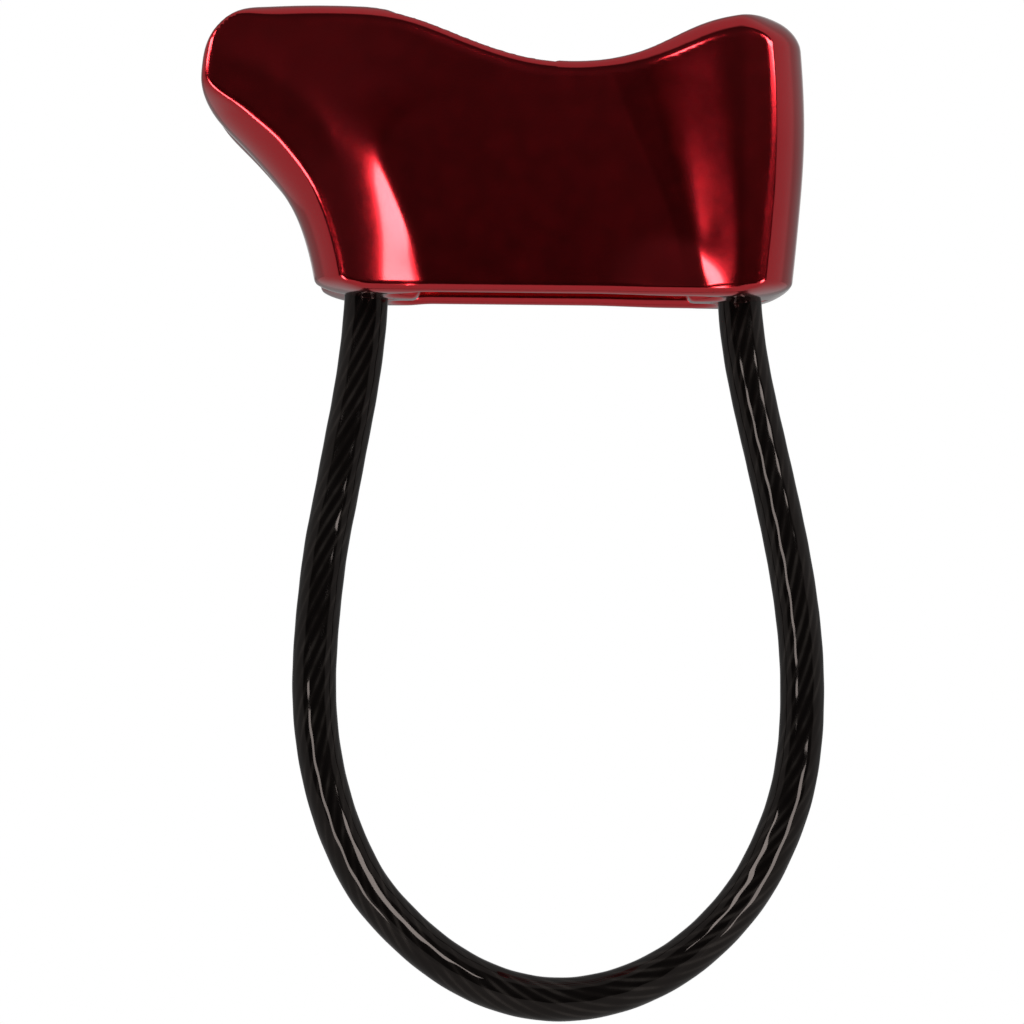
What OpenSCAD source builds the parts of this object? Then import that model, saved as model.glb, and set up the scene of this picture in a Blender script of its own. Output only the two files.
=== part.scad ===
// Tube belay device with two rope slots, friction grooves in a horn at the brake end,
// and a keeper loop of sheathed wire rope. Millimetres, +Z towards the rope side.
// The origin is on the underside, midway between the two ends of the keeper loop.

/* [Body] */
// Depth of the body over its two broad faces
body_depth = 36; // [34:0.5:40]
// Radius that rounds the broad faces into the end walls
corner_r = 6; // [4:0.5:7]
// How far the middle of each broad face is drawn in
waist = 0.8; // [0:0.1:1.2]
// Depth of the valley between the two noses under the horn
nose_valley = 2; // [0:0.5:3]

/* [Rope slots] */
// Width of each rope slot
slot_width = 12.2; // [11:0.1:12.6]
// Thickness of the web between the rope slots
web_thick = 5.6; // [5:0.1:7]
// Radius of the floor of each friction groove
groove_floor_r = 1.8; // [1:0.1:3]
// Rise of the arch under the web
arch_rise = 3; // [1:0.5:6]

/* [Keeper loop] */
// Outside diameter of the plastic sheath
sheath_d = 4.5; // [4:0.1:4.8]
// Diameter of each of the seven strands of the wire rope
strand_d = 0.9; // [0.6:0.05:0.9]

/* [Cable bores] */
// Distance from the middle to each cable bore
bore_x = 19.1;
// Diameter of each cable bore and of the ferrule pressed into it
bore_d = 5.2; // [5:0.1:5.4]
// Depth of each cable bore
bore_depth = 14; // [12:0.5:15]
// Length of each ferrule
ferrule_len = 8; // [6:0.5:8.5]

/* [Hidden] */
round_fn = 64;
spread = 1; // how far a cutter runs past the face that it opens

half_depth = body_depth / 2;
slot_y = (web_thick + slot_width) / 2;

// Where the left and right ends of the body stand at each height: [height, x].
left_end = [[0, -21.6], [0.4, -22.6], [1, -23.6], [2.6, -24.4], [4.2, -24.9], [5.8, -25.3],
    [7.4, -25.9], [9, -26.9], [11.5, -28.6], [13.5, -30.4], [15.5, -32.4], [17.2, -34.2],
    [18.6, -35.3], [20, -35.7], [21.5, -35.6], [24, -35.3], [30, -35]];
right_end = [[0, 22.4], [0.4, 23.2], [1, 23.7], [2.6, 24.2], [5.8, 24.7], [11.5, 25.2],
    [17.2, 25.4], [21.5, 25.3], [24, 25], [26, 24.7], [28, 24.1], [30, 23]];
// Height of the rope-side edge along the body: [x, height].
top_edge = [[-36, 22], [-35.2, 23.2], [-34.8, 24.8], [-34, 26.2], [-32.5, 27.4], [-31, 28],
    [-28, 28.4], [-24, 28.55], [-20.5, 28.5], [-17.5, 28.2], [-14.5, 27.5], [-11.5, 26.5],
    [-8.5, 25.2], [-5.5, 24.1], [-2.5, 23.4], [0.5, 23.05], [3.5, 23.1], [6.5, 23.6],
    [9.5, 24.6], [12, 25.8], [15, 27.1], [18, 27.9], [20.5, 28], [22.5, 27.6], [24, 26.8],
    [25, 25.6], [26, 23]];
// Heights at which the body's outline is drawn.
levels = [0, 0.4, 1, 2.6, 5.8, 7.4, 9, 11.5, 13.5, 15.5, 17.2, 18.6, 20, 21.5, 24, 27, 30];
corner_steps = 6;
end_steps = 10;
rim_r = 1; // rounding of the underside's outer rim

// The rope slots: their ends at the underside and at the rope side, and their corners.
slot_low = [-16.7, 17];
slot_high = [-20, 20.5];
slot_corner_low = 3.4;
slot_corner_high = 5;
slot_top = 30;
// The floor of each friction groove runs from inside the slot out through the horn.
groove_start = [-15, 5];
groove_end = [-39, 24.2];

// Route of the keeper loop, in the plane y = 0: [x, z].
route = [[-19.1, 10], [-19.1, 5], [-19.1, 0], [-19.5, -5], [-20.2, -10], [-21.1, -15],
    [-22, -20], [-22.9, -25], [-23.5, -30], [-23.9, -35], [-24, -40], [-23.6, -45],
    [-22.6, -50], [-20.9, -55], [-18.3, -60], [-14.8, -64], [-10.8, -67.3], [-6.7, -69.6],
    [-2.6, -70.9], [1.5, -71.3], [5.6, -70.8], [9.6, -69.5], [13.7, -67.2], [17.6, -63.8],
    [20.9, -59.6], [23.3, -54.8], [24.9, -50], [25.7, -45], [25.9, -40], [25.7, -35],
    [25.1, -30], [24.2, -25], [23.1, -20], [21.9, -15], [20.7, -10], [19.7, -5], [19.1, 0],
    [19.1, 5], [19.1, 10]];
rings_per_span = 2;
rings_per_turn = 9;
sheath_sides = 10;
strand_sides = 6;
// The wire rope: six strands laid round a core strand.
lay_r = strand_d * 1.13;
rope_r = lay_r + strand_d / 2;
sheath_hole_r = rope_r + 0.08;
socket_r = rope_r + 0.1;
socket_len = 6;

// One quarter turn of a rounded corner at [cx, cy], starting at the angle a0.
function corner(cx, cy, r, a0) =
    [for (i = [0:corner_steps]) [cx + r * cos(a0 + 90 * i / corner_steps),
        cy + r * sin(a0 + 90 * i / corner_steps)]];

// How far a broad face is drawn in at a place from 0 to 1 along it.
function waist_at(t) = waist * pow(sin(180 * t), 0.5);

// The body's outline at the height z, counter-clockwise seen from above.
function outline(z) =
    let (low = lookup(z, left_end), high = lookup(z, right_end),
        d = half_depth - max(0, rim_r - z) * 0.7,
        rl = z < 19 ? corner_r : 1.5, rr = corner_r + 1,
        near = low + rl, far = high - rr,
        valley = z < 19 ? nose_valley : 0.4)
    concat(
        corner(near, rl - d, rl, 180),
        [for (i = [1:5]) [near + (far - near) * i / 6, -d + waist_at(i / 6)]],
        corner(far, rr - d, rr, 270),
        corner(far, d - rr, rr, 0),
        [for (i = [5:-1:1]) [near + (far - near) * i / 6, d - waist_at(i / 6)]],
        corner(near, d - rl, rl, 90),
        [for (i = [0:end_steps])
            let (y = slot_y * (1 - 2 * i / end_steps))
            [low + valley * (1 + cos(180 * y / slot_y)) / 2, y]]);

// The middle of a ring of points.
function middle(ring) = [for (axis = [0:2]) sum([for (p = ring) p[axis]]) / len(ring)];

function sum(list, i = 0) = i < len(list) ? list[i] + sum(list, i + 1) : 0;

// A closed solid through rings of points, all rings with the same number of points. Each
// end is a fan about its middle.
module loft(rings) {
    n = len(rings[0]);
    last = (len(rings) - 1) * n;
    points = [for (ring = rings) each ring];
    sides = [for (k = [0:n:last - n], i = [0:n - 1])
        let (a = k + i, b = k + (i + 1) % n)
        each [[a, a + n, b + n], [a, b + n, b]]];
    start = [for (i = [0:n - 1]) [i, (i + 1) % n, last + n]];
    finish = [for (i = [0:n - 1]) [last + (i + 1) % n, last + i, last + n + 1]];
    ends = [middle(rings[0]), middle(rings[len(rings) - 1])];
    polyhedron(concat(points, ends), concat(sides, start, finish));
}

module body_shell() {
    loft([for (z = levels) [for (p = outline(z)) [p[0], p[1], z]]]);
}

// Everything under the rope-side edge.
module saddle() {
    rotate([90, 0, 0])
        translate([0, 0, -half_depth - spread])
            linear_extrude(body_depth + 2 * spread)
                polygon(concat([[26, -spread], [-36, -spread]], top_edge));
}

// A flat rounded plate between two values of x, as wide as a rope slot.
module slot_plate(ends, r, z) {
    for (x = [ends[0] + r, ends[1] - r], y = [r - slot_width / 2, slot_width / 2 - r])
        translate([x, y, z]) cylinder(r = r, h = 0.1, $fn = 32);
}

module rope_slot() {
    hull() {
        slot_plate(slot_low, slot_corner_low, -spread);
        slot_plate(slot_high, slot_corner_high, slot_top);
    }
}

module friction_groove() {
    hull() {
        for (p = [groove_start, groove_end])
            translate([p[0], 0, p[1]]) sphere(r = groove_floor_r, $fn = 24);
        translate([groove_end[0], -slot_width / 2, slot_top])
            cube([groove_start[0] - groove_end[0], slot_width, spread]);
    }
}

// The arch under the web, so that only the end blocks and the long walls reach the underside.
module web_arch() {
    reach = slot_low[1] - 3;
    rotate([90, 0, 0])
        translate([0, 0, -web_thick / 2 - 0.5])
            linear_extrude(web_thick + 1)
                polygon([[-reach, -spread], [-reach, 0], [4 - reach, arch_rise],
                    [reach - 4, arch_rise], [reach, 0], [reach, -spread]]);
}

module cable_bore() {
    translate([0, 0, -spread]) cylinder(d = bore_d, h = bore_depth + spread, $fn = round_fn);
    translate([0, 0, -0.01])
        cylinder(d1 = bore_d + 0.8, d2 = bore_d, h = 0.41, $fn = round_fn);
}

module body() {
    color("firebrick")
        difference() {
            intersection() {
                body_shell();
                saddle();
            }
            for (side = [-1, 1]) {
                translate([0, side * slot_y, 0]) rope_slot();
                translate([0, side * slot_y, 0]) friction_groove();
                translate([side * bore_x, 0, 0]) cable_bore();
            }
            web_arch();
        }
}

// A swaged stop: it is pressed into a cable bore, and the wire rope ends in its socket.
module ferrule(side) {
    bottom = bore_depth - ferrule_len - 0.5;
    color("silver")
        translate([side * bore_x, 0, bottom])
            difference() {
                cylinder(d = bore_d, h = ferrule_len, $fn = round_fn);
                translate([0, 0, -spread])
                    cylinder(r = socket_r, h = socket_len + spread, $fn = round_fn);
            }
}

module left_ferrule() {
    ferrule(-1);
}

module right_ferrule() {
    ferrule(1);
}

// A smooth curve through the route's points: the point at t of 0 to 1 along span k.
function on_route(k, t) =
    let (a = route[max(0, k - 1)], b = route[k], c = route[k + 1],
        d = route[min(len(route) - 1, k + 2)])
    (2 * b + (c - a) * t + (2 * a - 5 * b + 4 * c - d) * t * t
        + (3 * b - a - 3 * c + d) * t * t * t) / 2;

// The curve's points from one of the route's points to another.
function stretch(first, last) =
    concat([for (k = [first:last - 1]) for (j = [0:rings_per_span - 1])
        on_route(k, j / rings_per_span)], [route[last]]);

// A round ring across the curve at its point i, off its middle by `off` towards `phase`.
function ring(line, i, r, sides, off, phase) =
    let (n = len(line), run = line[min(n - 1, i + 1)] - line[max(0, i - 1)],
        across = [run[1], -run[0]] / norm(run))
    [for (j = [0:sides - 1])
        let (a = phase + 360 * j / sides,
            u = off * cos(phase) + r * cos(a), v = off * sin(phase) + r * sin(a))
        [line[i][0] + across[0] * u, v, line[i][1] + across[1] * u]];

module tube(line, r, sides, off = 0, phase = 0, turn = 0) {
    loft([for (i = [0:len(line) - 1]) ring(line, i, r, sides, off, phase + turn * i)]);
}

module cable_sheath() {
    line = stretch(1, len(route) - 2);
    hole = stretch(0, len(route) - 1);
    color([0.07, 0.06, 0.06])
        difference() {
            tube(line, sheath_d / 2, sheath_sides);
            tube(hole, sheath_hole_r / cos(180 / sheath_sides), sheath_sides);
        }
}

module core_strand() {
    color("gray") tube(stretch(0, len(route) - 1), strand_d / 2, strand_sides);
}

// The strand with this number, from 1 to 6, laid round the core.
module outer_strand(number) {
    color("gray")
        tube(stretch(0, len(route) - 1), strand_d / 2, strand_sides, lay_r,
            60 * number, 360 / rings_per_turn);
}

body();
left_ferrule();
right_ferrule();
cable_sheath();
core_strand();
outer_strand(1);  // outer_strand_1
outer_strand(2);  // outer_strand_2
outer_strand(3);  // outer_strand_3
outer_strand(4);  // outer_strand_4
outer_strand(5);  // outer_strand_5
outer_strand(6);  // outer_strand_6
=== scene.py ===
import math

import bmesh
import bpy
import numpy as np
from mathutils import Matrix, Vector


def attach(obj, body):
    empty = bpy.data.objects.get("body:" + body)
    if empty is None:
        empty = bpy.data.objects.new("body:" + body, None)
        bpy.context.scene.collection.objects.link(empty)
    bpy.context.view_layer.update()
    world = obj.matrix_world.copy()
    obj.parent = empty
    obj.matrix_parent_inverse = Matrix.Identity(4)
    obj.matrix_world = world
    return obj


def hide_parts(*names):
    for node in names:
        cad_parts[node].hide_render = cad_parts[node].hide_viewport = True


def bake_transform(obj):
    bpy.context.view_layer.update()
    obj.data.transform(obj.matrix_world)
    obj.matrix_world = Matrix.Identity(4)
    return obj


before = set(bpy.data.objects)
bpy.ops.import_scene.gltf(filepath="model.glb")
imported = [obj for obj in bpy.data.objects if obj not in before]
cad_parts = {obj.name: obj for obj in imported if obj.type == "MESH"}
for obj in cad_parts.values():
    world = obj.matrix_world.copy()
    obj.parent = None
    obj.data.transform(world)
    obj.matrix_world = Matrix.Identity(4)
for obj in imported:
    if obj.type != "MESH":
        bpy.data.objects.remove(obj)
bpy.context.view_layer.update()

MM = 0.001
BODY, LOOP = "device_body", "keeper_loop"

# ---------------------------------------------------------------- camera
# The camera looks along +Y at the loop's middle, from far enough to flatten the depth.
CAMERA_AIM = Vector((-3.97, 0, -21.5)) * MM
CAMERA_DISTANCE = 547 * MM
CAMERA_LENS = 188
CAMERA_ROLL = math.radians(0.6)


def make_camera():
    """A long lens, level, with a slight roll."""
    data = bpy.data.cameras.new("camera")
    data.sensor_width = 36
    data.lens = CAMERA_LENS
    camera = bpy.data.objects.new("camera", data)
    bpy.context.scene.collection.objects.link(camera)
    look = Matrix.Rotation(math.pi / 2, 4, "X") @ Matrix.Rotation(CAMERA_ROLL, 4, "Z")
    camera.matrix_world = Matrix.Translation(CAMERA_AIM - Vector((0, CAMERA_DISTANCE, 0))) @ look
    bpy.context.scene.camera = camera


# ---------------------------------------------------------------- meshes
def add_mesh(name, points, faces, material, normals=None):
    """A smooth mesh object from points in millimetres."""
    mesh = bpy.data.meshes.new(name)
    mesh.vertices.add(len(points))
    mesh.vertices.foreach_set("co", (np.asarray(points, float) * MM).ravel())
    faces = np.asarray(faces)
    sides = faces.shape[1]
    mesh.loops.add(faces.size)
    mesh.loops.foreach_set("vertex_index", faces.ravel())
    mesh.polygons.add(len(faces))
    mesh.polygons.foreach_set("loop_start", np.arange(0, faces.size, sides))
    mesh.update(calc_edges=True)
    mesh.validate()
    mesh.shade_smooth()
    if normals is not None:
        mesh.normals_split_custom_set_from_vertices(np.asarray(normals, float).tolist())
    mesh.materials.append(material)
    piece = bpy.data.objects.new(name, mesh)
    bpy.context.scene.collection.objects.link(piece)
    return piece


def tube_faces(rings, sides):
    """Quads along a tube of rings, and no ends."""
    i, j = np.meshgrid(np.arange(rings - 1), np.arange(sides), indexing="ij")
    a = i * sides + j
    b = i * sides + (j + 1) % sides
    return np.stack([a, b, b + sides, a + sides], axis=-1).reshape(-1, 4)


# ---------------------------------------------------------------- keeper loop
# The route of the keeper loop in the plane y = 0, in metres: the points of the CAD route.
ROUTE = [
    (-0.0191, 0.010), (-0.0191, 0.005), (-0.0191, 0.0), (-0.0195, -0.005), (-0.0202, -0.010),
    (-0.0211, -0.015), (-0.022, -0.020), (-0.0229, -0.025), (-0.0235, -0.030),
    (-0.0239, -0.035), (-0.024, -0.040), (-0.0236, -0.045), (-0.0226, -0.050),
    (-0.0209, -0.055), (-0.0183, -0.060), (-0.0148, -0.064), (-0.0108, -0.0673),
    (-0.0067, -0.0696), (-0.0026, -0.0709), (0.0015, -0.0713), (0.0056, -0.0708),
    (0.0096, -0.0695), (0.0137, -0.0672), (0.0176, -0.0638), (0.0209, -0.0596),
    (0.0233, -0.0548), (0.0249, -0.050), (0.0257, -0.045), (0.0259, -0.040),
    (0.0257, -0.035), (0.0251, -0.030), (0.0242, -0.025), (0.0231, -0.020),
    (0.0219, -0.015), (0.0207, -0.010), (0.0197, -0.005), (0.0191, 0.0), (0.0191, 0.005),
    (0.0191, 0.010),
]
SHEATH_D = 4.5
SHEATH_SPANS_IN = 1  # how many of the route's first and last spans the sheath leaves bare
STRAND_D = 0.9
LAY_R = 1.02
LAY_LENGTH = 22.5
SHEATH_SIDES = 96
SHEATH_STEP = 0.5  # between the sheath's rings
SHEATH_SWELL = 0.009  # how far it stands out over a strand
SHEATH_WANDER = 0.012  # how far its wall wanders, as extruded plastic does
WIRE_LINES = 14  # lines seen through it round its girth
WIRE_LINES_TWIST = 0.62  # their turning, as a share of the strands'
STRAND_SIDES = 24
STRAND_STEP = 0.7
STRAND_SHRINK = 0.93  # keeps the lobed strands clear of each other
WIRE_LAY_LENGTH = 7.5  # of the wires in a strand
WIRE_LOBE = 0.07


def route_line(spacing, spans_off=0):
    """Evenly spaced points along a smooth curve through the route, in millimetres."""
    points = np.array([(x, 0, z) for x, z in ROUTE]) / MM
    before = np.vstack([points[:1], points[:-2]])
    after = np.vstack([points[2:], points[-1:]])
    fine = []
    for k in range(spans_off, len(points) - 1 - spans_off):
        a, b, c, d = before[k], points[k], points[k + 1], after[k]
        t = np.linspace(0, 1, 60, endpoint=False)[:, None]
        fine.append((2 * b + (c - a) * t + (2 * a - 5 * b + 4 * c - d) * t**2
                     + (3 * b - a - 3 * c + d) * t**3) / 2)
    fine.append(points[-1 - spans_off][None])
    fine = np.vstack(fine)
    run = np.concatenate([[0], np.cumsum(np.linalg.norm(np.diff(fine, axis=0), axis=1))])
    count = int(round(run[-1] / spacing)) + 1
    at = np.linspace(0, run[-1], count)
    line = np.stack([np.interp(at, run, fine[:, axis]) for axis in range(3)], axis=1)
    return line, at


def line_frames(line):
    """Unit vectors across the curve: one in its plane and one along +Y."""
    along = np.gradient(line, axis=0)
    along /= np.linalg.norm(along, axis=1)[:, None]
    side = np.tile([0.0, 1.0, 0.0], (len(line), 1))
    return np.cross(side, along), side


def sweep(name, line, radius, sides, material, centre=None):
    """A tube along the line; radius has a value for each ring and side."""
    across, side = line_frames(line)
    turn = np.arange(sides) * 2 * math.pi / sides
    radius = np.broadcast_to(radius, (len(line), sides))
    middle = line if centre is None else centre
    points = (middle[:, None] + radius[..., None] * (
        across[:, None] * np.cos(turn)[:, None] + side[:, None] * np.sin(turn)[:, None]))
    faces = tube_faces(len(line), sides)
    ends = [middle[0], middle[-1]]
    points = np.vstack([points.reshape(-1, 3), ends])
    piece = add_mesh(name, points, faces, material)
    close_ends(piece, len(line), sides)
    return piece


def close_ends(piece, rings, sides):
    """Fans that close a tube's two ends about its last two points."""
    mesh = bmesh.new()
    mesh.from_mesh(piece.data)
    mesh.verts.ensure_lookup_table()
    first, last = mesh.verts[rings * sides], mesh.verts[rings * sides + 1]
    for j in range(sides):
        a, b = mesh.verts[j], mesh.verts[(j + 1) % sides]
        mesh.faces.new((first, b, a)).smooth = True
        a = mesh.verts[(rings - 1) * sides + j]
        b = mesh.verts[(rings - 1) * sides + (j + 1) % sides]
        mesh.faces.new((last, a, b)).smooth = True
    mesh.to_mesh(piece.data)
    mesh.free()


def make_sheath(material):
    """The sheath, pressed out a little over each strand below it."""
    line, at = route_line(SHEATH_STEP, SHEATH_SPANS_IN)
    turn = np.arange(SHEATH_SIDES) * 2 * math.pi / SHEATH_SIDES
    phase = 2 * math.pi * at / LAY_LENGTH
    swell = SHEATH_SWELL * np.cos(6 * (turn[None] - phase[:, None]))
    wander = SHEATH_WANDER * np.outer(np.sin(at / 6.1) + 0.4 * np.sin(at / 2.3),
                                      np.cos(turn - 0.6))
    radius = SHEATH_D / 2 + swell + wander
    piece = sweep("keeper_sheath", line, radius, SHEATH_SIDES, material)
    # The wires' lines under the sheath, which its material shows faintly.
    wires = 0.5 + 0.5 * np.cos(WIRE_LINES * (turn[None] - WIRE_LINES_TWIST * phase[:, None]))
    lay = piece.data.attributes.new("lay", "FLOAT", "POINT")
    ends = [0, 0]
    lay.data.foreach_set("value", np.append(wires.ravel(), ends))
    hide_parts("cable_sheath")
    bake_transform(piece)
    return piece, line, at[-1]


def make_strands(material):
    """Seven strands of seven wires each: lobed tubes, six of them laid round the core."""
    line, at = route_line(STRAND_STEP)
    across, side = line_frames(line)
    turn = np.arange(STRAND_SIDES) * 2 * math.pi / STRAND_SIDES
    twist = 2 * math.pi * at / WIRE_LAY_LENGTH
    lobes = 1 + WIRE_LOBE * np.cos(6 * (turn[None] + twist[:, None]))
    radius = STRAND_D / 2 * STRAND_SHRINK * lobes
    strands = []
    for number in range(7):
        name = "core_strand" if number == 0 else f"outer_strand_{number}"
        phase = 2 * math.pi * at / LAY_LENGTH + number * math.pi / 3
        off = 0 if number == 0 else LAY_R
        centre = line + off * (across * np.cos(phase)[:, None] + side * np.sin(phase)[:, None])
        piece = sweep(name + "_wires", line, radius, STRAND_SIDES, material, centre)
        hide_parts(name)
        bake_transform(piece)
        strands.append(piece)
    return strands


# ---------------------------------------------------------------- body
# Millimetres. The profile seen from the front: its ends by height, and its top edge.
LEFT_END = [(-3, -23.9), (0, -24.0), (3, -24.5), (6, -25.35), (9, -26.7), (12, -28.9),
            (15, -31.7), (17.5, -34.1), (19.5, -35.2), (21.5, -35.4), (25, -35.0), (32, -34.5)]
RIGHT_END = [(-3, 23.6), (0, 23.9), (4, 24.3), (8, 24.65), (12, 24.95), (17, 25.1),
             (22, 24.9), (28, 24.35), (32, 23.9)]
TOP_EDGE = [(-38, 28.0), (-31, 28.5), (-26, 28.8), (-21, 28.85), (-17.5, 28.65),
            (-14, 27.95), (-10, 26.5), (-6, 25.05), (-2.5, 24.15), (1.5, 23.8), (5, 24.05),
            (8.5, 24.9), (12, 26.3), (15, 27.5), (18, 28.2), (20.5, 28.5), (23, 28.55),
            (25, 28.3), (28, 27.6)]
HALF_DEPTH = 18.0
# The dish pressed in each broad face: the line where its left slope starts, by height.
DISH_LEFT = [(-3, -19.1), (2.8, -20.3), (8.8, -21.0), (14, -22.0), (18.3, -24.0),
             (21, -27.2), (23, -30.5), (25, -34.5), (32, -49)]
DISH_LEFT_WIDTH = 7.3
DISH_RIGHT = 18.6
DISH_RIGHT_WIDTH = 5.5
DISH_SINK = 1.4  # its depth
CREST_STEP = 0.35  # how far the left crest lies below the right one
CREST_LEAN = 0.052  # and how much further for each millimetre of height
SLOT_Y = 8.9  # from the middle to a slot's middle
SLOT_HALF = 6.1
SLOT_TOP = 30.0
SLOT_LEFT = -16.7  # the slots' ends at the underside
SLOT_RIGHT = 17.0
SLOT_LEFT_OPENING = 3.3  # and how much further out they are at the top
SLOT_RIGHT_OPENING = 3.5
SLOT_CORNER = 3.4  # the radius of its corners at the underside
SLOT_CORNER_OPENING = 1.6
BORE_X = 19.1
BORE_R = 2.6
BORE_DEPTH = 14.0
GROOVE_START = (-15.0, 5.6)  # x and z of its floor's inner end
GROOVE_RISE = 0.8  # of its floor towards the horn
GROOVE_FLOOR_R = 1.8
NORMAL_REACH = 0.3  # how far the shading reaches over a crease, so that it stays even
VALLEY = 2.0  # depth of the valley between the two noses under the horn
RIM = 1.7  # rounding of the top's and underside's rims
NOSE_RIM = 1.2  # and of the horn's upper end
LEFT_RIM = 5.0  # and how much more of the left end below it
RIGHT_RIM = 5.8
SLOT_FILLET = 1.05
GROOVE_FILLET = 0.5
ARCH_FILLET = 0.7
BORE_FILLET = 0.35
RIB_PITCH = 2.6
RIB_HEIGHT = 0.55
ARCH_HALF = 3.6
CELL = 0.385  # of the grid that the body's mesh is made on
NET_LOW = (-37.3, -19.2, -1.1)
NET_HIGH = (26.9, 19.2, 30.1)


def natural_spline(points):
    """A curve with smooth curvature through the points, straight past its ends."""
    x, y = np.array(points, float).T
    n = len(x)
    h = np.diff(x)
    rows = np.eye(n)
    right = np.zeros(n)
    for i in range(1, n - 1):
        rows[i, i - 1:i + 2] = h[i - 1] / 6, (h[i - 1] + h[i]) / 3, h[i] / 6
        right[i] = (y[i + 1] - y[i]) / h[i] - (y[i] - y[i - 1]) / h[i - 1]
    bend = np.linalg.solve(rows, right)
    grid = np.linspace(x[0], x[-1], 2000)
    i = np.clip(np.searchsorted(x, grid) - 1, 0, n - 2)
    a, b = (x[i + 1] - grid) / h[i], (grid - x[i]) / h[i]
    value = a * y[i] + b * y[i + 1]
    value = value + ((a**3 - a) * bend[i] + (b**3 - b) * bend[i + 1]) * h[i]**2 / 6
    slope = np.gradient(value, grid)
    return lambda at: (np.interp(at, grid, value), np.interp(at, grid, slope))


left_end = natural_spline(LEFT_END)
right_end = natural_spline(RIGHT_END)
top_edge = natural_spline(TOP_EDGE)
dish_left = natural_spline(DISH_LEFT)


def step(value, low, high):
    """0 below low, 1 above high, and smooth between them."""
    t = np.clip((value - low) / (high - low), 0, 1)
    return t * t * t * (t * (6 * t - 15) + 10)


def smooth(value, low, high):
    """As step, but less steep halfway."""
    t = np.clip((value - low) / (high - low), 0, 1)
    return t * t * (3 - 2 * t)


def both(a, b, r):
    """The overlap of two shapes, its edge rounded to the radius r."""
    return (np.hypot(np.maximum(a + r, 0), np.maximum(b + r, 0))
            + np.minimum(np.maximum(a, b) + r, 0) - r)


def face_depth(x, z):
    """How far the broad faces stand from the middle: a dish between two flat crests."""
    edge, lean = dish_left(z)
    # The left slope is steepest near its foot low down, and near its crest higher up.
    high = step(z, 10, 20)
    width = DISH_LEFT_WIDTH - 2.4 * step(z, 2, 16) + 4.8 * step(z, 13, 22)
    t = (x - edge) / np.sqrt(1 + lean**2) / width
    t = np.minimum((t + np.hypot(t, 0.06)) / 2, 1)
    late = np.where(t < 0.8, t**2 / 0.8, 1 - (1 - t)**2 / 0.2)
    left = late + (1 - (1 - t)**2 - late) * high
    # The right slope is wider towards the top, and the dish's right half runs out below.
    t = np.clip((DISH_RIGHT - x) / (DISH_RIGHT_WIDTH + 9 * smooth(z, 0, 30)), 0, 1)
    right = 0.3 * t + 0.7 * smooth(t, 0.02, 0.78)
    bottom = 1 - (1 - step(z, -6.0, 7.0)) * step(x, 3, 14)
    # The left crest leans back, and stays at one depth above some 13 mm.
    lean_z = (z + 13 - np.hypot(z - 13, 2)) / 2
    lower = (CREST_STEP + CREST_LEAN * lean_z) * step(x, 12, -12)
    return HALF_DEPTH - lower - (DISH_SINK - lower) * left * right * bottom


def outer_shape(x, y, z):
    """The body without its openings: negative inside."""
    depth = np.abs(y)
    xl, sl = left_end(z)
    xr, sr = right_end(z)
    zt, st = top_edge(x)
    valley = VALLEY * step(z, 21.5, 18.0)
    valley = valley * (1 + np.cos(math.pi * np.minimum(depth / SLOT_Y, 1))) / 2
    left = (xl + valley - x) / np.sqrt(1 + sl**2)
    right = (x - xr + 0.0015 * y**2) / np.sqrt(1 + sr**2)
    top = (z - zt) / np.sqrt(1 + st**2)
    flats = both(left, np.maximum(top, -z), 5 * step(z, 12, 17))
    # The ends' wide rims, the horn's narrow upper one, and the top's and underside's.
    end_rim = np.where(x < 0, NOSE_RIM + LEFT_RIM * step(z, 22.0, 17.5), RIGHT_RIM)
    rim = RIM + step(z, 8, 16) * (1.0 + 0.8 * step(x, 2, 13) - 1.2 * step(x, -26, -33))
    ends = np.maximum(left, right)
    level = np.maximum(top, -z)
    reach = 2.4 + (1.33 * end_rim - 2.4) * smooth(ends, -6, -2)
    face = depth - face_depth(x, z)
    a = np.maximum(ends / end_rim + 1, 0)
    b = np.maximum(level / rim + 1, 0)
    c = np.maximum(face / reach + 0.87, 0)
    # Near a corner the three faces' rims are rounded together.
    out = np.sqrt(a * a + b * b + c * c)
    inner = np.maximum(np.maximum(ends / end_rim, level / rim), face / reach)
    side = (out + np.minimum(inner + 1, 0) * (out == 0) - 1) * np.minimum(rim, end_rim)
    side = both(side, flats, 0.3)
    return both(side, face, 0.1)


def slot_space(x, y, z):
    """The two rope slots, wider towards the rope side."""
    t = z / SLOT_TOP
    low, high = SLOT_LEFT - SLOT_LEFT_OPENING * t, SLOT_RIGHT + SLOT_RIGHT_OPENING * t
    r = SLOT_CORNER + SLOT_CORNER_OPENING * t
    dx = np.abs(x - (low + high) / 2) - ((high - low) / 2 - r)
    dy = np.abs(np.abs(y) - SLOT_Y) - (SLOT_HALF - r)
    return np.hypot(np.maximum(dx, 0), np.maximum(dy, 0)) + np.minimum(np.maximum(dx, dy), 0) - r


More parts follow.
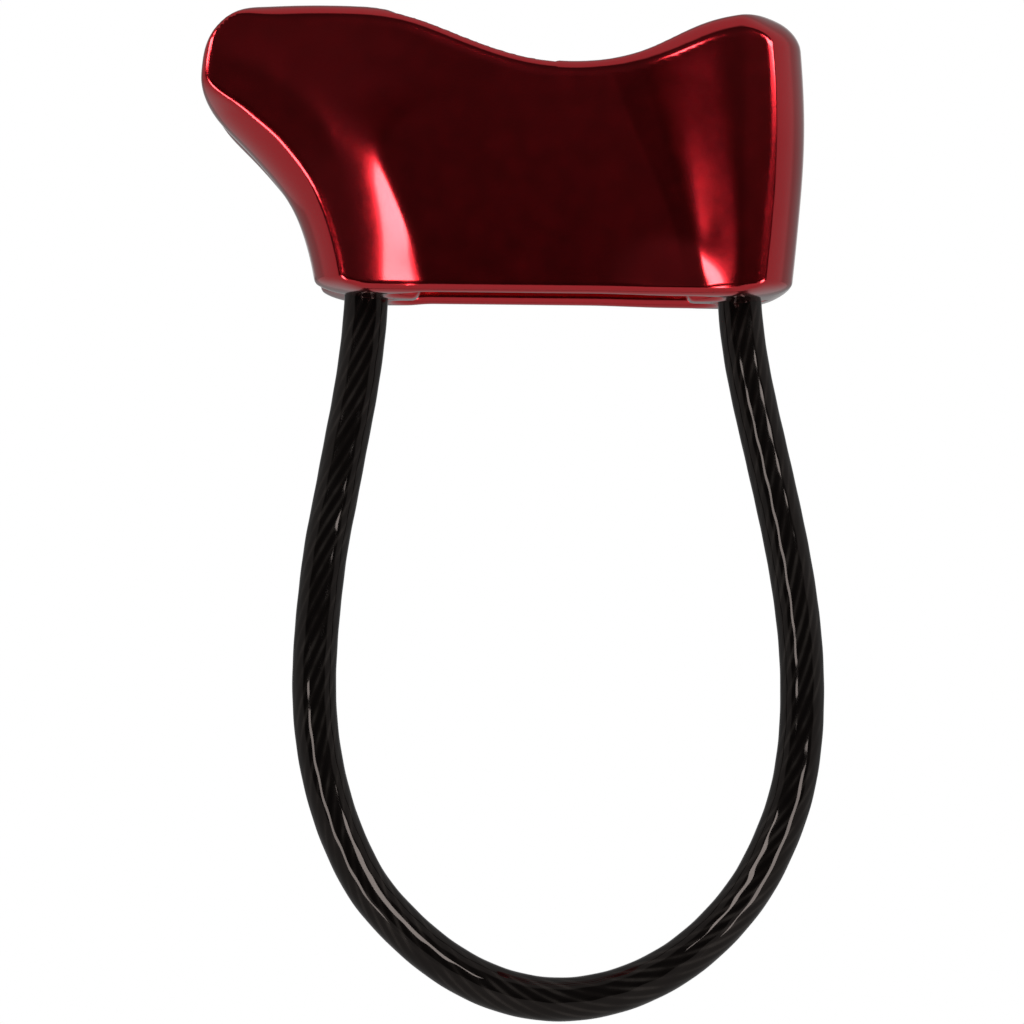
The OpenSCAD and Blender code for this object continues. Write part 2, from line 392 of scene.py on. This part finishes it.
def groove_space(x, y, z):
    """The V-shaped friction grooves, with ribs across their walls."""
    floor_z = GROOVE_START[1] + GROOVE_RISE * (GROOVE_START[0] - x)
    half = np.arctan2(SLOT_HALF - GROOVE_FLOOR_R, np.maximum(SLOT_TOP - floor_z, 4.0))
    side = np.abs(np.abs(y) - SLOT_Y)
    up = z - floor_z
    along = side * np.sin(half) + up * np.cos(half)
    wall = side * np.cos(half) - up * np.sin(half)
    space = np.where(along > 0, wall, np.hypot(side, up)) - GROOVE_FLOOR_R
    # The ribs lean, keep clear of the floor and fade at both ends of the groove.
    ribs = 0.5 + 0.5 * np.cos(2 * math.pi * (x + 0.35 * up) / RIB_PITCH)
    ribs = ribs**1.5 * step(side, 1.2, 2.6) * step(x, -20.5, -22.5) * step(x, -35.0, -33.5)
    space = space * 0.9 + RIB_HEIGHT * ribs * step(z, 29.0, 26.5)
    return np.maximum(space, x - GROOVE_START[0])


def arch_space(x, y, z):
    """The arch under the web."""
    crown = -2 + 5 * step(np.abs(x), 16.0, 11.5)
    return np.maximum(z - crown, np.abs(y) - ARCH_HALF)


def bore_space(x, y, z):
    """The two blind bores that hold the keeper loop's ends."""
    return np.maximum(np.hypot(np.abs(x) - BORE_X, y) - BORE_R, z - BORE_DEPTH)


def body_shape(x, y, z):
    """The whole body: negative inside."""
    shape = outer_shape(x, y, z)
    shape = both(shape, -slot_space(x, y, z), SLOT_FILLET)
    shape = both(shape, -groove_space(x, y, z), GROOVE_FILLET)
    shape = both(shape, -arch_space(x, y, z), ARCH_FILLET)
    return both(shape, -bore_space(x, y, z), BORE_FILLET)


def slope_at(shape, p, e=0.01):
    """The gradient of the shape's function at the points p."""
    x, y, z = p.T
    return np.stack([shape(x + e, y, z) - shape(x - e, y, z),
                     shape(x, y + e, z) - shape(x, y - e, z),
                     shape(x, y, z + e) - shape(x, y, z - e)], axis=1) / (2 * e)


def surface_net(shape, low, high, cell):
    """Quads on the surface where the shape's function is zero."""
    counts = [int(math.ceil((high[a] - low[a]) / cell)) + 1 for a in range(3)]
    axes = [low[a] + cell * np.arange(counts[a]) for a in range(3)]
    value = np.empty(counts, np.float32)
    for i, x in enumerate(axes[0]):
        y, z = np.meshgrid(axes[1], axes[2], indexing="ij")
        value[i] = shape(np.full(y.shape, x), y, z)
    inside = value < 0
    cut = [n - 1 for n in counts]
    total = np.zeros(cut, np.int8)
    for c in np.ndindex(2, 2, 2):
        total += inside[c[0]:c[0] + cut[0], c[1]:c[1] + cut[1], c[2]:c[2] + cut[2]]
    cells = np.argwhere((total > 0) & (total < 8))
    number = np.full(cut, -1, np.int64)
    number[tuple(cells.T)] = np.arange(len(cells))
    place = np.zeros((len(cells), 3))
    hits = np.zeros(len(cells))
    for axis in range(3):
        others = [a for a in range(3) if a != axis]
        for c in np.ndindex(2, 2):
            a = cells.copy()
            a[:, others[0]] += c[0]
            a[:, others[1]] += c[1]
            b = a.copy()
            b[:, axis] += 1
            va, vb = value[tuple(a.T)].astype(float), value[tuple(b.T)].astype(float)
            crosses = (va < 0) != (vb < 0)
            t = np.where(crosses, va / np.where(crosses, va - vb, 1), 0)
            point = a + 0.0
            point[:, axis] += t
            place += np.where(crosses[:, None], point, 0)
            hits += crosses
    points = np.array(low) + cell * place / hits[:, None]
    quads = []
    for axis in range(3):
        u, v = (axis + 1) % 3, (axis + 2) % 3
        first = [slice(None)] * 3
        first[axis] = slice(0, -1)
        second = [slice(None)] * 3
        second[axis] = slice(1, None)
        for sign in (True, False):
            edges = np.argwhere((inside[tuple(first)] == sign) & (inside[tuple(second)] != sign))
            corners = []
            for du, dv in ((0, 0), (1, 0), (1, 1), (0, 1)):
                at = edges.copy()
                at[:, u] -= 1 - du
                at[:, v] -= 1 - dv
                corners.append(number[tuple(at.T)])
            quad = np.stack(corners, axis=1)
            quads.append(quad if sign else quad[:, ::-1])
    return points, np.vstack(quads)


def settle(shape, points, faces, rounds):
    """Evens out the points along the surface, puts them on it and finds their normals."""
    ends = np.vstack([faces[:, [0, 1]], faces[:, [1, 2]], faces[:, [2, 3]], faces[:, [3, 0]]])
    for pull in [0.5] * rounds + [0, 0]:
        if pull:
            total = np.zeros_like(points)
            for axis in range(3):
                total[:, axis] = np.bincount(ends[:, 0], points[ends[:, 1], axis], len(points))
            count = np.bincount(ends[:, 0], minlength=len(points))
            points = points + pull * (total / count[:, None] - points)
        for _ in range(2):
            slope = slope_at(shape, points)
            size = np.maximum((slope**2).sum(1), 0.05)
            off = np.clip(shape(*points.T) / size, -0.3, 0.3)
            points = points - off[:, None] * slope
    slope = slope_at(shape, points, NORMAL_REACH)
    return points, slope / np.linalg.norm(slope, axis=1)[:, None]


def make_body(material):
    """The body's mesh, with shading taken from its own function."""
    cell = CELL
    points, faces = surface_net(body_shape, NET_LOW, NET_HIGH, cell)
    points, normals = settle(body_shape, points, faces, 3)
    piece = add_mesh("forged_body", points, faces, material, normals)
    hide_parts("body")
    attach(piece, BODY)
    return piece


# ---------------------------------------------------------------- materials
def new_material(name):
    """A material with its nodes, its links and its Principled shader."""
    material = bpy.data.materials.new(name)
    material.use_nodes = True
    nodes = material.node_tree.nodes
    return material, nodes, material.node_tree.links, nodes["Principled BSDF"]


def noise(nodes, links, scale, detail):
    """A noise texture's value, in the object's own space."""
    place = nodes.new("ShaderNodeTexCoord")
    texture = nodes.new("ShaderNodeTexNoise")
    texture.inputs["Scale"].default_value = scale
    texture.inputs["Detail"].default_value = detail
    links.new(place.outputs["Object"], texture.inputs["Vector"])
    return texture.outputs["Fac"]


def ramp(nodes, links, source, stops):
    """A colour ramp over the source: stops of (place, colour)."""
    node = nodes.new("ShaderNodeValToRGB")
    first, last = node.color_ramp.elements
    first.position, last.position = stops[0][0], stops[-1][0]
    first.color = (*stops[0][1], 1)
    last.color = (*stops[-1][1], 1)
    for place, colour in stops[1:-1]:
        node.color_ramp.elements.new(place).color = (*colour, 1)
    links.new(source, node.inputs["Fac"])
    return node.outputs["Color"]


def map_range(nodes, links, source, ends, results, soft=False):
    """The source brought from between the two ends to between the two results."""
    node = nodes.new("ShaderNodeMapRange")
    if soft:
        node.interpolation_type = "SMOOTHSTEP"
    for socket, value in zip(("From Min", "From Max", "To Min", "To Max"), (*ends, *results)):
        node.inputs[socket].default_value = value
    links.new(source, node.inputs["Value"])
    return node.outputs["Result"]


def spread(nodes, links, source, low, high):
    """The source's 0 to 1 brought to low to high."""
    return map_range(nodes, links, source, (0, 1), (low, high))


def bump(nodes, links, source, distance):
    """A normal that the source tilts, as a height of this distance in metres."""
    node = nodes.new("ShaderNodeBump")
    node.inputs["Strength"].default_value = 1.0
    node.inputs["Distance"].default_value = distance
    links.new(source, node.inputs["Height"])
    return node.outputs["Normal"]


def anodised_red():
    """Bright-dipped aluminium under a clear red oxide layer."""
    material, nodes, links, shader = new_material("anodised_red")
    colour = ramp(nodes, links, noise(nodes, links, 90, 3), [
        (0.2, (0.87, 0.019, 0.031)), (0.8, (0.92, 0.023, 0.037))])
    links.new(colour, shader.inputs["Base Color"])
    shader.inputs["Metallic"].default_value = 1.0
    rough = spread(nodes, links, noise(nodes, links, 500, 4), 0.12, 0.18)
    links.new(rough, shader.inputs["Roughness"])
    shader.inputs["Coat Weight"].default_value = 1.0
    shader.inputs["Coat IOR"].default_value = 1.55
    shader.inputs["Coat Roughness"].default_value = 0.09
    grain = bump(nodes, links, noise(nodes, links, 8000, 1), 0.000003)
    links.new(grain, shader.inputs["Normal"])
    return material


def smoke_sheath():
    """Glossy smoke-black plastic, the wires showing faintly through it."""
    material, nodes, links, shader = new_material("smoke_sheath")
    lay = nodes.new("ShaderNodeAttribute")
    lay.attribute_name = "lay"
    shown = math_node(nodes, links, "MULTIPLY", noise(nodes, links, 260, 3), lay.outputs["Fac"])
    colour = ramp(nodes, links, shown, [
        (0.1, (0.004, 0.0032, 0.003)), (0.35, (0.007, 0.0056, 0.0051)),
        (0.6, (0.024, 0.0204, 0.0184))])
    links.new(colour, shader.inputs["Base Color"])
    rough = spread(nodes, links, noise(nodes, links, 700, 3), 0.03, 0.08)
    links.new(rough, shader.inputs["Roughness"])
    shader.inputs["IOR"].default_value = 1.5
    shader.inputs["Specular IOR Level"].default_value = 0.42
    shader.inputs["Specular Tint"].default_value = (1.0, 0.86, 0.80, 1)
    return material


def bright_wire():
    """Drawn stainless wire."""
    material, nodes, links, shader = new_material("bright_wire")
    colour = ramp(nodes, links, noise(nodes, links, 1500, 2), [
        (0.35, (0.42, 0.41, 0.40)), (0.65, (0.60, 0.59, 0.57))])
    links.new(colour, shader.inputs["Base Color"])
    shader.inputs["Metallic"].default_value = 1.0
    rough = spread(nodes, links, noise(nodes, links, 900, 3), 0.22, 0.38)
    links.new(rough, shader.inputs["Roughness"])
    return material


def swaged_steel():
    """The ferrules' pressed stainless steel."""
    material, nodes, links, shader = new_material("swaged_steel")
    colour = ramp(nodes, links, noise(nodes, links, 700, 3), [
        (0.3, (0.50, 0.49, 0.48)), (0.7, (0.66, 0.65, 0.63))])
    links.new(colour, shader.inputs["Base Color"])
    shader.inputs["Metallic"].default_value = 1.0
    rough = spread(nodes, links, noise(nodes, links, 1200, 4), 0.25, 0.45)
    links.new(rough, shader.inputs["Roughness"])
    links.new(bump(nodes, links, noise(nodes, links, 2500, 3), 0.00002), shader.inputs["Normal"])
    return material


# ---------------------------------------------------------------- studio
FLOOR_Z = -450 * MM
FLOOR_RADIUS = 1.6
FLOOR_GLOW = 0.24  # the floor's brightness in reflections
FLOOR_SEEN = 0.78  # and how much more of it the camera sees
# The brightness of the surroundings: all round, before the object, behind it, right
# behind it above the horizon, and how much more there is overhead.
SURROUNDINGS = 0.345
BEFORE = 0.008
BEHIND = 0.23
GLOW = 0.345
OVERHEAD = 0.029


def make_floor():
    """A plain pale floor, far below the hanging device."""
    bpy.ops.mesh.primitive_circle_add(vertices=96, radius=FLOOR_RADIUS, fill_type="NGON",
                                      location=(0, 0, FLOOR_Z))
    floor = bpy.context.object
    floor.name = "studio_floor"
    material, nodes, links, shader = new_material("pale_floor")
    shader.inputs["Base Color"].default_value = (0.12, 0.12, 0.12, 1)
    shader.inputs["Roughness"].default_value = 0.9
    shader.inputs["Specular IOR Level"].default_value = 0
    shader.inputs["Emission Color"].default_value = (1, 1, 1, 1)
    path = nodes.new("ShaderNodeLightPath")
    glow = math_node(nodes, links, "MULTIPLY_ADD", path.outputs["Is Camera Ray"],
                     FLOOR_SEEN, FLOOR_GLOW)
    links.new(glow, shader.inputs["Emission Strength"])
    floor.data.materials.append(material)


def math_node(nodes, links, operation, a, b=None, c=None):
    """A Math node's output; each input is a number or another node's output."""
    node = nodes.new("ShaderNodeMath")
    node.operation = operation
    for socket, value in zip(node.inputs, (a, b, c)):
        if value is None:
            continue
        if isinstance(value, (int, float)):
            socket.default_value = value
        else:
            links.new(value, socket)
    return node.outputs[0]


def zone(nodes, links, source, sign, dark):
    """The surroundings' brightness towards sign * Y: dark within some 60 degrees of it."""
    ends = sign * math.cos(math.radians(64)), sign * math.cos(math.radians(54))
    return map_range(nodes, links, source, ends, (SURROUNDINGS, dark), soft=True)


def make_world():
    """White surroundings, darker before and behind the object, as round a camera."""
    world = bpy.data.worlds.new("studio")
    bpy.context.scene.world = world
    world.use_nodes = True
    nodes, links = world.node_tree.nodes, world.node_tree.links
    nodes.clear()
    out = nodes.new("ShaderNodeOutputWorld")
    place = nodes.new("ShaderNodeTexCoord")
    parts = nodes.new("ShaderNodeSeparateXYZ")
    links.new(place.outputs["Generated"], parts.inputs[0])
    before = zone(nodes, links, parts.outputs["Y"], -1, BEFORE)
    behind = zone(nodes, links, parts.outputs["Y"], 1, BEHIND)
    level = math_node(nodes, links, "MINIMUM", before, behind)
    # The glow is a round patch right behind the object, cut off at the horizon.
    ends = math.cos(math.radians(24)), math.cos(math.radians(12))
    glow = map_range(nodes, links, parts.outputs["Y"], ends, (0, GLOW), soft=True)
    above = map_range(nodes, links, parts.outputs["Z"], (-0.03, 0.01), (0, 1))
    level = math_node(nodes, links, "MULTIPLY_ADD", glow, above, level)
    ends = math.sin(math.radians(2.5)), math.sin(math.radians(6.5))
    upper = map_range(nodes, links, parts.outputs["Z"], ends, (0, OVERHEAD))
    level = math_node(nodes, links, "ADD", level, upper)
    around = nodes.new("ShaderNodeBackground")
    links.new(level, around.inputs["Strength"])
    plain = nodes.new("ShaderNodeBackground")
    plain.inputs["Color"].default_value = (1, 1, 1, 1)
    mix = nodes.new("ShaderNodeMixShader")
    path = nodes.new("ShaderNodeLightPath")
    links.new(path.outputs["Is Camera Ray"], mix.inputs["Fac"])
    links.new(around.outputs[0], mix.inputs[1])
    links.new(plain.outputs[0], mix.inputs[2])
    links.new(mix.outputs[0], out.inputs["Surface"])


def make_softbox(name, azimuth, elevation, width, height, radiance, distance=1.2):
    """An area light seen from the object at these angles, azimuth 0 being the camera's side."""
    a, e = math.radians(azimuth), math.radians(elevation)
    towards = Vector((math.sin(a) * math.cos(e), -math.cos(a) * math.cos(e), math.sin(e)))
    light = bpy.data.lights.new(name, "AREA")
    light.shape = "RECTANGLE"
    light.size, light.size_y = width, height
    light.energy = radiance * math.pi * width * height
    lamp = bpy.data.objects.new(name, light)
    bpy.context.scene.collection.objects.link(lamp)
    lamp.location = towards * distance
    lamp.rotation_mode = "QUATERNION"
    lamp.rotation_quaternion = towards.to_track_quat("Z", "Y")
    lamp.visible_camera = False


def make_lights():
    """Four soft boxes beside the camera: name, azimuth, elevation, size and radiance."""
    make_softbox("right_high", 31, 15, 0.76, 0.27, 6.4)
    make_softbox("left_high", -34, 13.6, 0.62, 0.18, 6.4)
    make_softbox("right_low", 35, -19, 0.22, 0.32, 5.6, 0.9)
    make_softbox("left_low", -28, -16, 0.17, 0.34, 5.6, 0.9)


# ---------------------------------------------------------------- build
make_camera()
sheath, sheath_line, sheath_length = make_sheath(smoke_sheath())
strands = make_strands(bright_wire())
make_body(anodised_red())
ferrule_material = swaged_steel()
for node in ("left_ferrule", "right_ferrule"):
    for material_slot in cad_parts[node].material_slots:
        material_slot.material = ferrule_material
make_floor()
make_world()
make_lights()
bpy.context.scene.view_settings.view_transform = "Standard"
